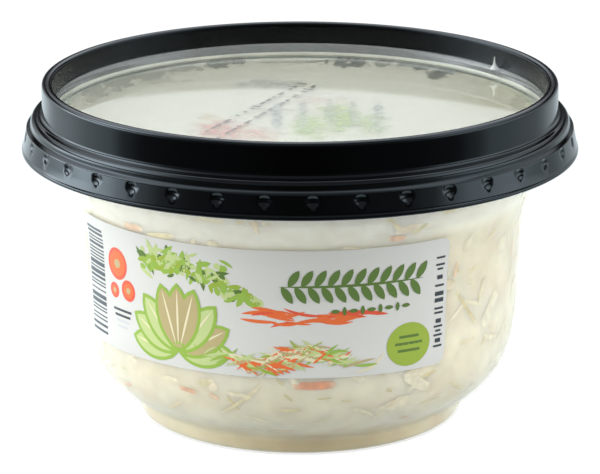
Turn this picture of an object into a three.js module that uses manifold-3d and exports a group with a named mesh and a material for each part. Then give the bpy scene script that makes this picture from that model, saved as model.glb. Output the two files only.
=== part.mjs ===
// A round deli tub of coleslaw: a translucent bowl-shaped tub with a foot, filled with shredded
// cabbage and carrot in dressing, sealed with a clear film, labelled, and closed with a black
// press-on lid whose recessed middle is a clear window.
// Millimetres, +Z up. The tub stands on Z = 0 and its axis is the Z axis. -Y is the front.

import * as THREE from 'three';
import { mergeVertices } from 'three/addons/utils/BufferGeometryUtils.js';
import Module from 'manifold-3d';

const wasm = await Module();
wasm.setup();

// Driving dimensions
const lidRadius = 59;            // outer radius of the skirt at its bottom edge
const overallHeight = 73;        // top of the lid's lip
const skirtBottom = 58.3;
const skirtTop = 63.6;           // shoulder from which the skirt hangs
const wall = 0.8;                // tub wall
const fit = 0.3;                 // clearance between pieces that fit in one another
const smallFit = 0.1;            // clearance under flat pieces that lie on one another

// Tub: radius and height of the points of its outer side, from the base up
const baseFlat = 31;
const footEdge = { r: 33.4, z: 0.9 };
const footSide = { r: 34.2, z: 3 };
const neck = { r: 34.6, z: 4.7 };          // crease between the foot and the bowl
const neckPull = { r: 35.1, z: 5.9 };      // the bowl's curve leaves the neck towards this point
const bellyPull = { r: 46.8, z: 8 };       // and comes up to the belly from this one
const belly = { r: 46.7, z: 27 };          // end of the bowl's round lower part
const flareStart = { r: 47.5, z: 44.5 };
const flareMiddle = { r: 48.3, z: 48.1 };
const ridgeFoot = { r: 49.5, z: 51.6 };    // stacking ridge under the lid
const ridgeLow = { r: 49.8, z: 52.2 };
const ridgeHigh = { r: 50.5, z: 54.4 };
const ridgeEnd = { r: 50.2, z: 55.2 };
const wallTop = { r: 51.9, z: 63.4 };
const flangeRoot = 52.3;
const flangeBottom = 63.9;
const flangeTop = 65;
const flangeRadius = 55.9;
const mouthRadius = 51.3;

// Lid
const lipOuter = 54.6;
const lipInner = 52.4;
const lipEdge = 0.5;             // chamfer on the lip's edges
const lipRoot = 0.4;             // hollow at the foot of the lip
const ledgeHeight = 65.8;        // top of the ledge outside the lip
const bandRadius = 57;           // short upright band between the ledge and the skirt
const bandEdge = 0.7;            // chamfer between the ledge and the band
const roofHeight = 65.55;        // underside of the ledge, over the film
const skirtThickness = 0.9;
const skirtLowRadius = 58.9;     // outer side of the skirt at its bottom and top
const skirtHighRadius = 57.9;
const shoulder = { width: 0.5, height: 0.4 };
const rimHeight = 0.6;           // upright rim along the skirt's bottom edge
const rimSlope = { width: 0.15, height: 0.4 };
const snapCount = 36;            // dimples that press lugs out on the skirt's inner side
const snapPhase = 2.6;           // degrees from the front to the first dimple
const snapWidth = 2.4;
const snapBottom = 60.7;
const snapTop = 63.1;
const snapDepth = 0.55;
const cutterDepth = 3;           // how far the dimple's cutter reaches out past the skirt
const lugSize = { width: 1.5, depth: 1.75, height: 0.8 };  // from its middle

// Window and film
const windowRadius = lipInner - smallFit;
const windowTop = 66.45;
const windowThickness = 0.7;
const beadInner = 50.2;
const beadTop = 68.7;
const beadCrest = { width: 1.1, side: 0.4, drop: 0.3 };
const nib = { r: 51, azimuth: 122, radius: 1.1, height: 2.9, middle: 69.75 };
const filmThickness = 0.2;
const smearThickness = 0.35;
const smearEdge = 0.4;           // from the mouth to the dressing under the film
const gapEdge = 0.8;             // from the dressing's edge to the gaps in it

// Label
const labelFrom = -69;           // degrees round from the front
const labelTo = 39.5;
const labelBottom = 21.5;
const labelTop = 49.1;
const labelThickness = 0.15;

// Coleslaw
const fillHeight = 54;
const heapCrown = 1.5;           // how much the heap's middle stands over its edge
const heapWave = 1.1;
const shredThickness = 1.2;
const shredFit = 0.5;            // between the straight stretches of a shred and the round wall
const shredSink = 0.4;           // how deep a shred's back lies in the core
const shredSteps = 3;            // straight stretches of a shred
const wallShreds = { count: 14, length: [14, 34], halfWidth: [0.8, 1.7], z: [7, 50], slant: 1.1, bend: 0.03 };
const topShreds = { count: 15, length: [18, 38], halfWidth: [0.9, 1.7], rise: [0.5, 1.7], bend: 0.45 };
const clearOfNeck = 1.6;         // between a shred and the crease over the foot
const clearOfTop = 1.5;          // between a wall shred and the fill height
const clearOfEdge = 1.2;         // between a top shred and the wall

const lidSegments = 72;          // each dimple then lies within one facet
const tubSegments = 40;
const heapSegments = 32;
const heapRings = 5;

// ---- helpers ----

// Pseudo-random numbers from 0 to 1, the same on every run.
function makeRandom(seed) {
  let state = seed;
  return () => {
    state = (state * 1664525 + 1013904223) % 4294967296;
    return state / 4294967296;
  };
}

function radians(degrees) {
  return THREE.MathUtils.degToRad(degrees);
}

// Value between two limits.
function between([low, high], share) {
  return THREE.MathUtils.lerp(low, high, share);
}

// Point at an azimuth measured from the front (-Y) towards the right (+X).
function around(r, azimuth, z) {
  const a = radians(azimuth);
  return new THREE.Vector3(r * Math.sin(a), -r * Math.cos(a), z);
}

// Turns a closed outline of (radius, height) points about the Z axis.
function revolve(outline, segments) {
  const geometry = new THREE.LatheGeometry(outline, segments);
  return geometry.rotateX(Math.PI / 2);
}

function toManifold(geometry) {
  let plain = geometry.clone();
  plain.deleteAttribute('normal');
  plain.deleteAttribute('uv');
  plain = mergeVertices(plain, 1e-4);
  const mesh = new wasm.Mesh({
    numProp: 3,
    vertProperties: new Float32Array(plain.attributes.position.array),
    triVerts: new Uint32Array(plain.index.array),
  });
  return new wasm.Manifold(mesh);
}

function toGeometry(manifold) {
  const mesh = manifold.getMesh();
  const geometry = new THREE.BufferGeometry();
  geometry.setAttribute('position', new THREE.BufferAttribute(mesh.vertProperties, 3));
  geometry.setIndex(new THREE.BufferAttribute(mesh.triVerts, 1));
  geometry.computeVertexNormals();
  return geometry;
}

// The outer shell of a solid, without pockets closed in under crossing pieces.
function largestShell(manifold) {
  return manifold.decompose().reduce((a, b) => (a.volume() > b.volume() ? a : b));
}

// A bar of rectangular section through a row of frames, each of four corner points.
function bar(frames) {
  const corners = 4;
  const positions = frames.flat().flatMap((p) => [p.x, p.y, p.z]);
  const index = [];
  for (let i = 0; i < frames.length - 1; i += 1) {
    for (let k = 0; k < corners; k += 1) {
      const a = i * corners + k;
      const b = i * corners + (k + 1) % corners;
      index.push(a, b, b + corners, a, b + corners, a + corners);
    }
  }
  const last = (frames.length - 1) * corners;
  index.push(0, 2, 1, 0, 3, 2);
  index.push(last, last + 1, last + 2, last, last + 2, last + 3);
  const geometry = new THREE.BufferGeometry();
  geometry.setAttribute('position', new THREE.Float32BufferAttribute(positions, 3));
  geometry.setIndex(index);
  return geometry;
}

// ---- outlines ----

// Outer side of the tub, from the axis under the base up to the flange.
function tubOutline() {
  const point = ({ r, z }) => new THREE.Vector2(r, z);
  const bowl = new THREE.CubicBezierCurve(point(neck), point(neckPull), point(bellyPull), point(belly));
  return [
    new THREE.Vector2(0, 0),
    new THREE.Vector2(baseFlat, 0),
    point(footEdge),
    point(footSide),
    ...bowl.getPoints(5),
    ...[flareStart, flareMiddle, ridgeFoot, ridgeLow, ridgeHigh, ridgeEnd, wallTop].map(point),
  ];
}

// The outline moved by a distance to its inner side; negative moves it outwards.
function inset(outline, distance) {
  return outline.map((point, i) => {
    if (i === 0) {
      return new THREE.Vector2(0, point.y + distance);
    }
    const before = outline[i - 1];
    const after = outline[Math.min(i + 1, outline.length - 1)];
    const along = after.clone().sub(before).normalize();
    return new THREE.Vector2(point.x - along.y * distance, point.y + along.x * distance);
  });
}

// Radius of an outline at a height.
function radiusAt(outline, z) {
  for (let i = 1; i < outline.length; i += 1) {
    const low = outline[i - 1];
    const high = outline[i];
    if (z <= high.y && high.y > low.y && z >= low.y) {
      return THREE.MathUtils.mapLinear(z, low.y, high.y, low.x, high.x);
    }
  }
  return outline[outline.length - 1].x;
}

// ---- tub ----

function tubGeometry() {
  const outer = tubOutline();
  const inner = inset(outer, wall).reverse();
  const flange = [
    new THREE.Vector2(flangeRoot, flangeBottom),
    new THREE.Vector2(flangeRadius, flangeBottom),
    new THREE.Vector2(flangeRadius, flangeTop),
    new THREE.Vector2(mouthRadius, flangeTop),
  ];
  return revolve([...outer, ...flange, ...inner], tubSegments);
}

function naturalPlastic() {
  return new THREE.MeshStandardMaterial({
    color: '#eceadb', roughness: 0.3, metalness: 0, transparent: true, opacity: 0.45,
  });
}

// ---- lid ----

function skirtRadius(z) {
  return THREE.MathUtils.mapLinear(z, skirtBottom, skirtTop, skirtLowRadius, skirtHighRadius);
}

// Section of the black ring: lip, ledge, short band and flared skirt.
function lidOutline() {
  const insideWall = bandRadius - wall;
  const rimTop = skirtBottom + rimHeight;
  const path = new THREE.Path();
  path.moveTo(skirtLowRadius - skirtThickness, skirtBottom);
  path.lineTo(lidRadius, skirtBottom);
  path.lineTo(lidRadius, rimTop);
  path.lineTo(skirtLowRadius - rimSlope.width, rimTop + rimSlope.height);
  path.lineTo(skirtHighRadius, skirtTop - shoulder.height);
  path.lineTo(skirtHighRadius - shoulder.width, skirtTop);
  path.lineTo(bandRadius + smallFit, skirtTop + shoulder.height);
  path.lineTo(bandRadius, ledgeHeight - bandEdge);
  path.lineTo(bandRadius - bandEdge, ledgeHeight);
  path.lineTo(lipOuter + lipRoot, ledgeHeight + smallFit);
  path.lineTo(lipOuter, ledgeHeight + lipEdge);
  path.lineTo(lipOuter, overallHeight - lipEdge);
  path.lineTo(lipOuter - lipEdge, overallHeight);
  path.lineTo(lipInner + lipEdge, overallHeight);
  path.lineTo(lipInner, overallHeight - lipEdge);
  path.lineTo(lipInner, roofHeight);
  path.lineTo(insideWall, roofHeight);
  path.lineTo(insideWall, skirtTop + smallFit);
  path.lineTo(skirtHighRadius - skirtThickness, skirtTop - rimHeight);
  path.closePath();
  return path.getPoints();
}

// Pocket pressed into the skirt from outside: straight sides and a half-round lower end.
function snapPocket() {
  const half = snapWidth / 2;
  const shape = new THREE.Shape();
  shape.moveTo(half, snapTop);
  shape.lineTo(-half, snapTop);
  shape.lineTo(-half, snapBottom + half);
  shape.absarc(0, snapBottom + half, half, Math.PI, 2 * Math.PI, false);
  const sweep = { depth: cutterDepth, bevelEnabled: false, curveSegments: 2 };
  const geometry = new THREE.ExtrudeGeometry(shape, sweep);
  geometry.rotateX(Math.PI / 2);
  const middle = (snapBottom + skirtTop) / 2;
  geometry.translate(0, 0, -middle);
  geometry.rotateX(-Math.atan2(skirtLowRadius - skirtHighRadius, skirtTop - skirtBottom));
  geometry.translate(0, -(skirtRadius(middle) - snapDepth), middle);
  return geometry;
}

// Lug that the pocket presses out on the inner side, under the tub's flange.
function snapLug() {
  const middle = (snapBottom + skirtTop) / 2;
  const geometry = new THREE.OctahedronGeometry(1);
  geometry.scale(lugSize.width, lugSize.depth, lugSize.height);
  geometry.translate(0, -(skirtRadius(middle) - skirtThickness), middle);
  return geometry;
}

function lidGeometry() {
  let ring = toManifold(revolve(lidOutline(), lidSegments));
  const lug = toManifold(snapLug());
  const pocket = toManifold(snapPocket());
  for (let i = 0; i < snapCount; i += 1) {
    const turn = snapPhase + (360 / snapCount) * i;
    ring = ring.add(lug.rotate([0, 0, turn]));
    ring = ring.subtract(pocket.rotate([0, 0, turn]));
  }
  return toGeometry(ring);
}

function blackPlastic() {
  return new THREE.MeshStandardMaterial({ color: '#0d0e0e', roughness: 0.16, metalness: 0 });
}

// ---- window ----

// Clear disc with a rounded bead that rises to the lip, and the moulding nib that stands on the bead.
function windowGeometry() {
  const disc = toManifold(revolve([
    new THREE.Vector2(0, windowTop - windowThickness),
    new THREE.Vector2(windowRadius, windowTop - windowThickness),
    new THREE.Vector2(windowRadius, beadTop - beadCrest.drop),
    new THREE.Vector2(windowRadius - beadCrest.side, beadTop),
    new THREE.Vector2(windowRadius - beadCrest.width, beadTop - beadCrest.drop),
    new THREE.Vector2(beadInner, windowTop),
    new THREE.Vector2(0, windowTop),
  ], lidSegments));
  const cone = new THREE.ConeGeometry(nib.radius, nib.height, 6);
  cone.rotateX(Math.PI / 2);
  const place = around(nib.r, nib.azimuth, nib.middle);
  cone.translate(place.x, place.y, place.z);
  return toGeometry(disc.add(toManifold(cone)));
}

function clearPlastic() {
  return new THREE.MeshStandardMaterial({
    color: '#f2f5f3', roughness: 0.08, metalness: 0, transparent: true, opacity: 0.25,
  });
}

// ---- sealing film and the dressing that clings under it ----

function filmGeometry() {
  const bottom = flangeTop + smallFit;
  return revolve([
    new THREE.Vector2(0, bottom),
    new THREE.Vector2(flangeRadius - fit, bottom),
    new THREE.Vector2(flangeRadius - fit, bottom + filmThickness),
    new THREE.Vector2(0, bottom + filmThickness),
  ], tubSegments);
}

// Places near the mouth where the dressing under the film has run off: azimuth, length, width.
const smearGaps = [
  { azimuth: 168, length: 16, width: 3.4 },
  { azimuth: 184, length: 9, width: 2.4 },
  { azimuth: 203, length: 13, width: 4 },
  { azimuth: 226, length: 10, width: 3 },
  { azimuth: 147, length: 12, width: 3.2 },
  { azimuth: 251, length: 15, width: 5 },
];

function smearGeometry() {
  const top = flangeTop - smallFit;
  const radius = mouthRadius - smearEdge;
  let smear = toManifold(revolve([
    new THREE.Vector2(0, top - smearThickness),
    new THREE.Vector2(radius, top - smearThickness),
    new THREE.Vector2(radius, top),
    new THREE.Vector2(0, top),
  ], tubSegments));
  smearGaps.forEach((gap) => {
    const cutter = new THREE.CylinderGeometry(1, 1, 2, 10);  // far taller than the dressing is thick
    cutter.rotateX(Math.PI / 2);
    cutter.scale(gap.length / 2, gap.width / 2, 1);
    cutter.rotateZ(radians(gap.azimuth));
    const place = around(radius - gap.width / 2 - gapEdge, gap.azimuth, top);
    cutter.translate(place.x, place.y, place.z);
    smear = smear.subtract(toManifold(cutter));
  });
  return toGeometry(smear);
}

function dressing() {
  return new THREE.MeshStandardMaterial({ color: '#dedbc6', roughness: 0.4, metalness: 0 });
}

// ---- label ----

// Paper that follows the tub's side between two azimuths.
function labelGeometry() {
  const steps = 20;
  const rows = 6;
  const outline = tubOutline();
  const gapSide = inset(outline, -smallFit);
  const faceSide = inset(outline, -smallFit - labelThickness);
  const heights = [];
  for (let j = 0; j <= rows; j += 1) {
    heights.push(THREE.MathUtils.lerp(labelBottom, labelTop, j / rows));
  }
  const loop = [
    ...heights.map((z) => new THREE.Vector2(radiusAt(faceSide, z), z)),
    ...heights.toReversed().map((z) => new THREE.Vector2(radiusAt(gapSide, z), z)),
  ];
  const positions = [];
  const index = [];
  for (let i = 0; i <= steps; i += 1) {
    const azimuth = THREE.MathUtils.lerp(labelFrom, labelTo, i / steps);
    loop.forEach((point) => {
      const place = around(point.x, azimuth, point.y);
      positions.push(place.x, place.y, place.z);
    });
  }
  const size = loop.length;
  for (let i = 0; i < steps; i += 1) {
    for (let k = 0; k < size; k += 1) {
      const a = i * size + k;
      const b = i * size + (k + 1) % size;
      index.push(a, a + size, b + size, a, b + size, b);
    }
  }
  const last = steps * size;
  for (let j = 0; j < rows; j += 1) {
    const a = j;
    const b = j + 1;
    const c = size - 2 - j;
    const d = size - 1 - j;
    index.push(a, b, c, a, c, d);
    index.push(last + a, last + c, last + b, last + a, last + d, last + c);
  }
  const geometry = new THREE.BufferGeometry();
  geometry.setAttribute('position', new THREE.Float32BufferAttribute(positions, 3));
  geometry.setIndex(index);
  geometry.computeVertexNormals();
  return geometry;
}

function labelPaper() {
  return new THREE.MeshStandardMaterial({ color: '#e3e5e6', roughness: 0.4, metalness: 0 });
}

// ---- coleslaw ----

// Height of the heap's uneven top.
function heapTop(x, y) {
  const wave = Math.sin(x * 0.16 + 1) * Math.cos(y * 0.13) + 0.6 * Math.sin(x * 0.31 - y * 0.27);
  return fillHeight + wave * heapWave + heapCrown * (1 - Math.hypot(x, y) / mouthRadius);
}

function heapCore(outline) {
  const coreInset = wall + shredFit + shredThickness - shredSink;
  const side = inset(outline, coreInset).filter((p) => p.y < fillHeight - 1);
  const edge = side[side.length - 1];
  const points = [...side];
  for (let i = 0; i <= heapRings; i += 1) {
    points.push(new THREE.Vector2(edge.x * (1 - i / heapRings), fillHeight));
  }
  const geometry = revolve(points, heapSegments);
  const position = geometry.attributes.position;
  for (let i = 0; i < position.count; i += 1) {
    if (position.getZ(i) > fillHeight - 0.01) {
      position.setZ(i, heapTop(position.getX(i), position.getY(i)));
    }
  }
  return toManifold(geometry);
}

// A shred pressed flat against the tub's side, running at a slant round it.
function wallShred(outline, random) {
  const length = between(wallShreds.length, random());
  const halfWidth = between(wallShreds.halfWidth, random());
  const slant = between([-wallShreds.slant, wallShreds.slant], random());
  const bend = between([-wallShreds.bend, wallShreds.bend], random());
  let azimuth = 360 * random();
  let z = between(wallShreds.z, random());
  const frames = [];
  for (let i = 0; i <= shredSteps; i += 1) {
    const heading = slant + bend * length * (i / shredSteps - 0.5);
    const centre = radiusAt(outline, z);
    const up = halfWidth * Math.cos(heading);
    const sideways = THREE.MathUtils.radToDeg((-halfWidth * Math.sin(heading)) / centre);
    const high = { azimuth: azimuth + sideways, z: z + up };
    const low = { azimuth: azimuth - sideways, z: z - up };
    frames.push([
      around(radiusAt(outline, low.z), low.azimuth, low.z),
      around(radiusAt(outline, low.z) - shredThickness, low.azimuth, low.z),
      around(radiusAt(outline, high.z) - shredThickness, high.azimuth, high.z),
      around(radiusAt(outline, high.z), high.azimuth, high.z),
    ]);
    azimuth += THREE.MathUtils.radToDeg((Math.cos(heading) * length) / shredSteps / centre);
    z += (Math.sin(heading) * length) / shredSteps;
  }
  const heights = frames.flat().map((p) => p.z);
  const fits = Math.min(...heights) > neck.z + clearOfNeck && Math.max(...heights) < fillHeight - clearOfTop;
  return fits ? bar(frames) : null;
}

// A shred that lies on the heap, its ends sunk into it.
function topShred(edgeRadius, random) {
  const length = between(topShreds.length, random());
  const halfWidth = between(topShreds.halfWidth, random());
  const reach = edgeRadius * Math.sqrt(random());
  const spot = around(reach, 360 * random(), 0);
  let heading = 2 * Math.PI * random();
  const bend = between([-topShreds.bend, topShreds.bend], random());
  const rise = between(topShreds.rise, random());
  const frames = [];
  for (let i = 0; i <= shredSteps; i += 1) {
    const across = { x: -Math.sin(heading) * halfWidth, y: Math.cos(heading) * halfWidth };
    const middle = heapTop(spot.x, spot.y) + rise * Math.sin(Math.PI * (i / shredSteps)) - shredSink;
    const low = middle - shredThickness / 2;
    const high = middle + shredThickness / 2;
    frames.push([
      new THREE.Vector3(spot.x - across.x, spot.y - across.y, low),
      new THREE.Vector3(spot.x + across.x, spot.y + across.y, low),
      new THREE.Vector3(spot.x + across.x, spot.y + across.y, high),
      new THREE.Vector3(spot.x - across.x, spot.y - across.y, high),
    ]);
    spot.x += (Math.cos(heading) * length) / shredSteps;
    spot.y += (Math.sin(heading) * length) / shredSteps;
    heading += bend / shredSteps;
  }
  const fits = frames.flat().every((p) => Math.hypot(p.x, p.y) < edgeRadius);
  return fits ? bar(frames) : null;
}

function coleslawGeometry() {
  const random = makeRandom(7);
  const outline = tubOutline();
  const cavity = inset(outline, wall + shredFit);
  const edgeRadius = radiusAt(cavity, fillHeight - clearOfTop) - clearOfEdge;
  let heap = heapCore(outline);
  const addShreds = (count, makeShred) => {
    let placed = 0;
    while (placed < count) {
      const shred = makeShred();
      if (shred) {
        heap = heap.add(toManifold(shred));
        placed += 1;
      }
    }
  };
  addShreds(wallShreds.count, () => wallShred(cavity, random));
  addShreds(topShreds.count, () => topShred(edgeRadius, random));
  return toGeometry(largestShell(heap));
}

function slaw() {
  return new THREE.MeshStandardMaterial({ color: '#e6dfc4', roughness: 0.45, metalness: 0 });
}

// ---- the object ----

function piece(name, geometry, material) {
  const mesh = new THREE.Mesh(geometry, material);
  mesh.name = name;
  return mesh;
}

const tubOfColeslaw = new THREE.Group();
tubOfColeslaw.add(
  piece('tub', tubGeometry(), naturalPlastic()),
  piece('coleslaw', coleslawGeometry(), slaw()),
  piece('film_dressing', smearGeometry(), dressing()),
  piece('seal_film', filmGeometry(), clearPlastic()),
  piece('lid', lidGeometry(), blackPlastic()),
  piece('lid_window', windowGeometry(), clearPlastic()),
  piece('label', labelGeometry(), labelPaper()),
);

export default tubOfColeslaw;
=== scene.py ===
"""A closed deli tub of coleslaw: milky tub, slaw, sealing film, label, and a black lid with a window."""

import math
import random

import bpy
import numpy as np
from bpy.props import FloatProperty, FloatVectorProperty, IntProperty, PointerProperty
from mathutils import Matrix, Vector, noise


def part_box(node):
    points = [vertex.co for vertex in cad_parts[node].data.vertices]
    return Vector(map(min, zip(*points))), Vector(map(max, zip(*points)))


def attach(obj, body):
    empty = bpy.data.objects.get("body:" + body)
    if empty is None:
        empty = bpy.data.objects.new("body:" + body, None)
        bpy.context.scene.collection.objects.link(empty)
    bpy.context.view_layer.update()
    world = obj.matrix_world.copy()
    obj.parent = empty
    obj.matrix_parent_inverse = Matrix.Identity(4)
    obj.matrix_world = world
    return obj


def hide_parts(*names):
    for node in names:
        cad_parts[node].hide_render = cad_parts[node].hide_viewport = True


bl_info = {
    "name": "Tub of coleslaw",
    "version": (1, 0, 0),
    "blender": (4, 5, 0),
    "location": "View3D > Sidebar > Coleslaw",
    "description": "Models and finishes a closed deli tub of coleslaw around its frame",
    "category": "Object",
}

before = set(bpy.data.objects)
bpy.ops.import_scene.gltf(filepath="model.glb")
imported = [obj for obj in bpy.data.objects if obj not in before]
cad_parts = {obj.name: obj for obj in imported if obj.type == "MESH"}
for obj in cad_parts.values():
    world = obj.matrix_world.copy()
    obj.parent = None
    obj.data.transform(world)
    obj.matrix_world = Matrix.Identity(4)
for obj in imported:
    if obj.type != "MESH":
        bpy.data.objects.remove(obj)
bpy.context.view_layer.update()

MM = 0.001

# Outlines, as (radius, height) in mm, with an optional rounding at the corner.
BASE_FLAT = 32.6
NECK = (35.5, 4.3)
BOWL_CURVE = [NECK, (35.9, 6.4), (46.8, 8.0), (46.7, 27.0)]
WALL_TOP = (51.9, 63.4)
MOUTH_RADIUS = 51.3
FLANGE_OUTER, FLANGE_BOTTOM, FLANGE_TOP = 55.9, 63.9, 65.0
FILM_TOP = 65.3
LIP_INNER, LIP_OUTER, LIP_TOP = 52.4, 54.6, 73
SKIRT = [(58.9, 58.3), (57.9, 63.6)]
SKIRT_RIM = 59
# Dimples in the skirt: how many, degrees from the front to the first, height of their middle, width and
# height, and depth.
SNAP_COUNT = 38
SNAP_PHASE = 2.5
SNAP_MIDDLE = 62.1
SNAP_SIZE = (2.8, 2.4)
SNAP_DEPTH = 0.42


# ---- helpers ----


def linear(code):
    """Linear RGB of an sRGB hex colour."""
    channels = [int(code[i:i + 2], 16) / 255 for i in (1, 3, 5)]
    return tuple(c / 12.92 if c <= 0.04045 else ((c + 0.055) / 1.055) ** 2.4 for c in channels)


def mix(a, b, share):
    return tuple(x + (y - x) * share for x, y in zip(a, b))


def around(radius, azimuth, z):
    """Point in mm at an azimuth in degrees, measured from the front (-Y) towards the right (+X)."""
    a = np.radians(azimuth)
    return np.stack([radius * np.sin(a), -radius * np.cos(a), z + 0 * a], axis=-1)


def smooth_step(x, low, high):
    t = np.clip((x - low) / (high - low), 0, 1)
    return t * t * (3 - 2 * t)


def rounded(points, steps=3):
    """Outline whose corners (radius, height, rounding) become short arcs."""
    result = []
    for i, point in enumerate(points):
        here = Vector(point[:2])
        if len(point) == 2 or i in (0, len(points) - 1):
            result.append(tuple(here))
            continue
        back = Vector(points[i - 1][:2]) - here
        on = Vector(points[i + 1][:2]) - here
        start = here + back.normalized() * min(point[2], back.length * 0.45)
        end = here + on.normalized() * min(point[2], on.length * 0.45)
        for k in range(steps + 1):
            t = k / steps
            result.append(tuple(start * (1 - t) ** 2 + here * 2 * t * (1 - t) + end * t * t))
    return result


def bezier(points, steps):
    a, b, c, d = (np.array(p) for p in points)
    t = np.linspace(0, 1, steps + 1)[:, None]
    curve = a * (1 - t) ** 3 + 3 * b * t * (1 - t) ** 2 + 3 * c * t * t * (1 - t) + d * t ** 3
    return [tuple(p) for p in curve]


def inset(outline, distance):
    """Outline moved to its inner side by a distance in mm."""
    path = np.array(outline, float)
    along = np.gradient(path, axis=0)
    along /= np.linalg.norm(along, axis=1)[:, None]
    moved = path + distance * np.stack([-along[:, 1], along[:, 0]], axis=1)
    moved[0, 0] = path[0, 0]
    return [tuple(p) for p in moved]


def tub_side():
    """Outer side of the tub, from the base's middle up to the flange."""
    return (
        rounded([(0, 0), (BASE_FLAT, 0, 1.2), (34.8, 1.2, 0.9), (35.3, 3.2, 0.6), NECK])
        + bezier(BOWL_CURVE, 26)[1:]
        + rounded([
            (47.1, 36.0), (47.5, 44.5, 3.0), (48.3, 48.1, 1.5), (49.5, 51.6, 0.4), (49.8, 52.2, 0.4),
            (50.5, 54.4, 0.5), (50.2, 55.2, 0.4), WALL_TOP,
        ], 4)
    )


def select_only(*objects):
    bpy.ops.object.select_all(action="DESELECT")
    for obj in objects:
        obj.select_set(True)
    bpy.context.view_layer.objects.active = objects[0]


def turned(name, outline, steps):
    """Draws an outline in mm as a chain of edges and spins it about the Z axis."""
    bpy.ops.object.select_all(action="DESELECT")
    bpy.ops.mesh.primitive_plane_add(size=MM, location=(0, 0, 0))
    obj = bpy.context.active_object
    obj.name = obj.data.name = name
    bpy.ops.object.mode_set(mode="EDIT")
    bpy.ops.mesh.merge(type="CENTER")
    radius, height = outline[0]
    bpy.ops.transform.translate(value=(0, -radius * MM, height * MM))
    for next_radius, next_height in outline[1:]:
        bpy.ops.mesh.extrude_region()
        bpy.ops.transform.translate(value=(0, (radius - next_radius) * MM, (next_height - height) * MM))
        radius, height = next_radius, next_height
    bpy.ops.mesh.select_all(action="SELECT")
    bpy.ops.mesh.spin(steps=steps, angle=2 * math.pi, center=(0, 0, 0), axis=(0, 0, 1))
    bpy.ops.mesh.select_all(action="SELECT")
    bpy.ops.mesh.remove_doubles(threshold=1e-6)
    bpy.ops.mesh.normals_make_consistent(inside=False)
    bpy.ops.object.mode_set(mode="OBJECT")
    bpy.ops.object.shade_smooth()
    return obj


def points_of(obj):
    """Vertex places in mm."""
    places = np.empty(len(obj.data.vertices) * 3)
    obj.data.vertices.foreach_get("co", places)
    return places.reshape(-1, 3) / MM


def move_points(obj, places):
    obj.data.vertices.foreach_set("co", (np.asarray(places) * MM).ravel())
    obj.data.update()


def paint(obj, name, values):
    """Stores one colour or number per vertex."""
    values = np.asarray(values, dtype=np.float32)
    if values.ndim == 1:
        layer = obj.data.attributes.new(name=name, type="FLOAT", domain="POINT")
        layer.data.foreach_set("value", values)
    else:
        layer = obj.data.color_attributes.new(name=name, type="FLOAT_COLOR", domain="POINT")
        layer.data.foreach_set("color", np.c_[values, np.ones(len(values))].astype(np.float32).ravel())


def twin_of(template, name):
    twin = template.copy()
    twin.data = template.data.copy()
    twin.name = name
    bpy.context.collection.objects.link(twin)
    return twin


def joined(name, pieces):
    select_only(*pieces)
    if len(pieces) > 1:
        bpy.ops.object.join()
    obj = bpy.context.active_object
    obj.name = obj.data.name = name
    return obj


def settle(obj, slot, *replaced, material=None):
    """Gives a finished piece its material and its body and hides the solids it stands for; the slot is
    unused.
    """
    if material:
        obj.data.materials.clear()
        obj.data.materials.append(material)
    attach(obj, "root")
    if replaced:
        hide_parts(*replaced)
    return obj


# ---- materials ----

WHITE = (1, 1, 1, 1)


def add_node(tree, kind, sockets=None, **settings):
    """Adds a shader node, sets its properties, and sets its sockets or links them to a socket or node."""
    node = tree.nodes.new("ShaderNode" + kind)
    for name, value in settings.items():
        setattr(node, name, value)
    for name, value in (sockets or {}).items():
        value = value.outputs[0] if isinstance(value, bpy.types.Node) else value
        if isinstance(value, bpy.types.NodeSocket):
            tree.links.new(value, node.inputs[name])
        else:
            node.inputs[name].default_value = value
    return node


def new_material(name):
    """Empty material with its node tree."""
    material = bpy.data.materials.new(name)
    material.use_nodes = True
    material.node_tree.nodes.clear()
    return material, material.node_tree


def finished(material, shader):
    """Gives a material its surface."""
    add_node(material.node_tree, "OutputMaterial", {"Surface": shader})
    return material


def rgba(colour):
    return (*colour[:3], 1.0)


def natural_polypropylene(settings):
    """Moulded natural polypropylene: milky, so what lies behind shows through a soft veil; satin gloss."""
    material, tree = new_material("natural polypropylene")
    clear = add_node(tree, "BsdfTransparent", {"Color": WHITE})
    milk = add_node(tree, "BsdfPrincipled", {
        "Base Color": rgba(settings.plastic), "Roughness": 0.3, "IOR": 1.49, "Specular IOR Level": 0.7,
    })
    glow = add_node(tree, "BsdfTranslucent", {"Color": rgba(settings.plastic)})
    body = add_node(tree, "MixShader", {0: 0.3, 1: milk, 2: glow})
    veil = add_node(tree, "MixShader", {0: settings.veil, 1: clear, 2: body})
    return finished(material, veil)


def wet_slaw(name, roughness, grain, depth, spread=0.0):
    """Shredded vegetables in mayonnaise dressing: creamy, mottled by a grain in mm, with a wet gloss."""
    material, tree = new_material(name)
    tint = add_node(tree, "VertexColor", layer_name="tint")
    place = add_node(tree, "TexCoord")
    mottle = add_node(tree, "TexNoise", {
        "Vector": place.outputs["Object"], "Scale": 1 / (grain * MM), "Detail": 3.0, "Roughness": 0.55,
    })
    ramp = add_node(tree, "MapRange", {
        "Value": mottle, "From Min": 0.3, "From Max": 0.7, "To Min": 1 - depth, "To Max": 1 + depth / 2,
    })
    shade = add_node(tree, "VectorMath", {0: tint, "Scale": ramp}, operation="SCALE")
    surface = add_node(tree, "BsdfPrincipled", {
        "Base Color": shade, "Roughness": roughness, "IOR": 1.45,
        "Subsurface Weight": float(spread > 0), "Subsurface Radius": (1.0, 0.95, 0.8),
        "Subsurface Scale": spread,
    })
    return finished(material, surface)


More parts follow.
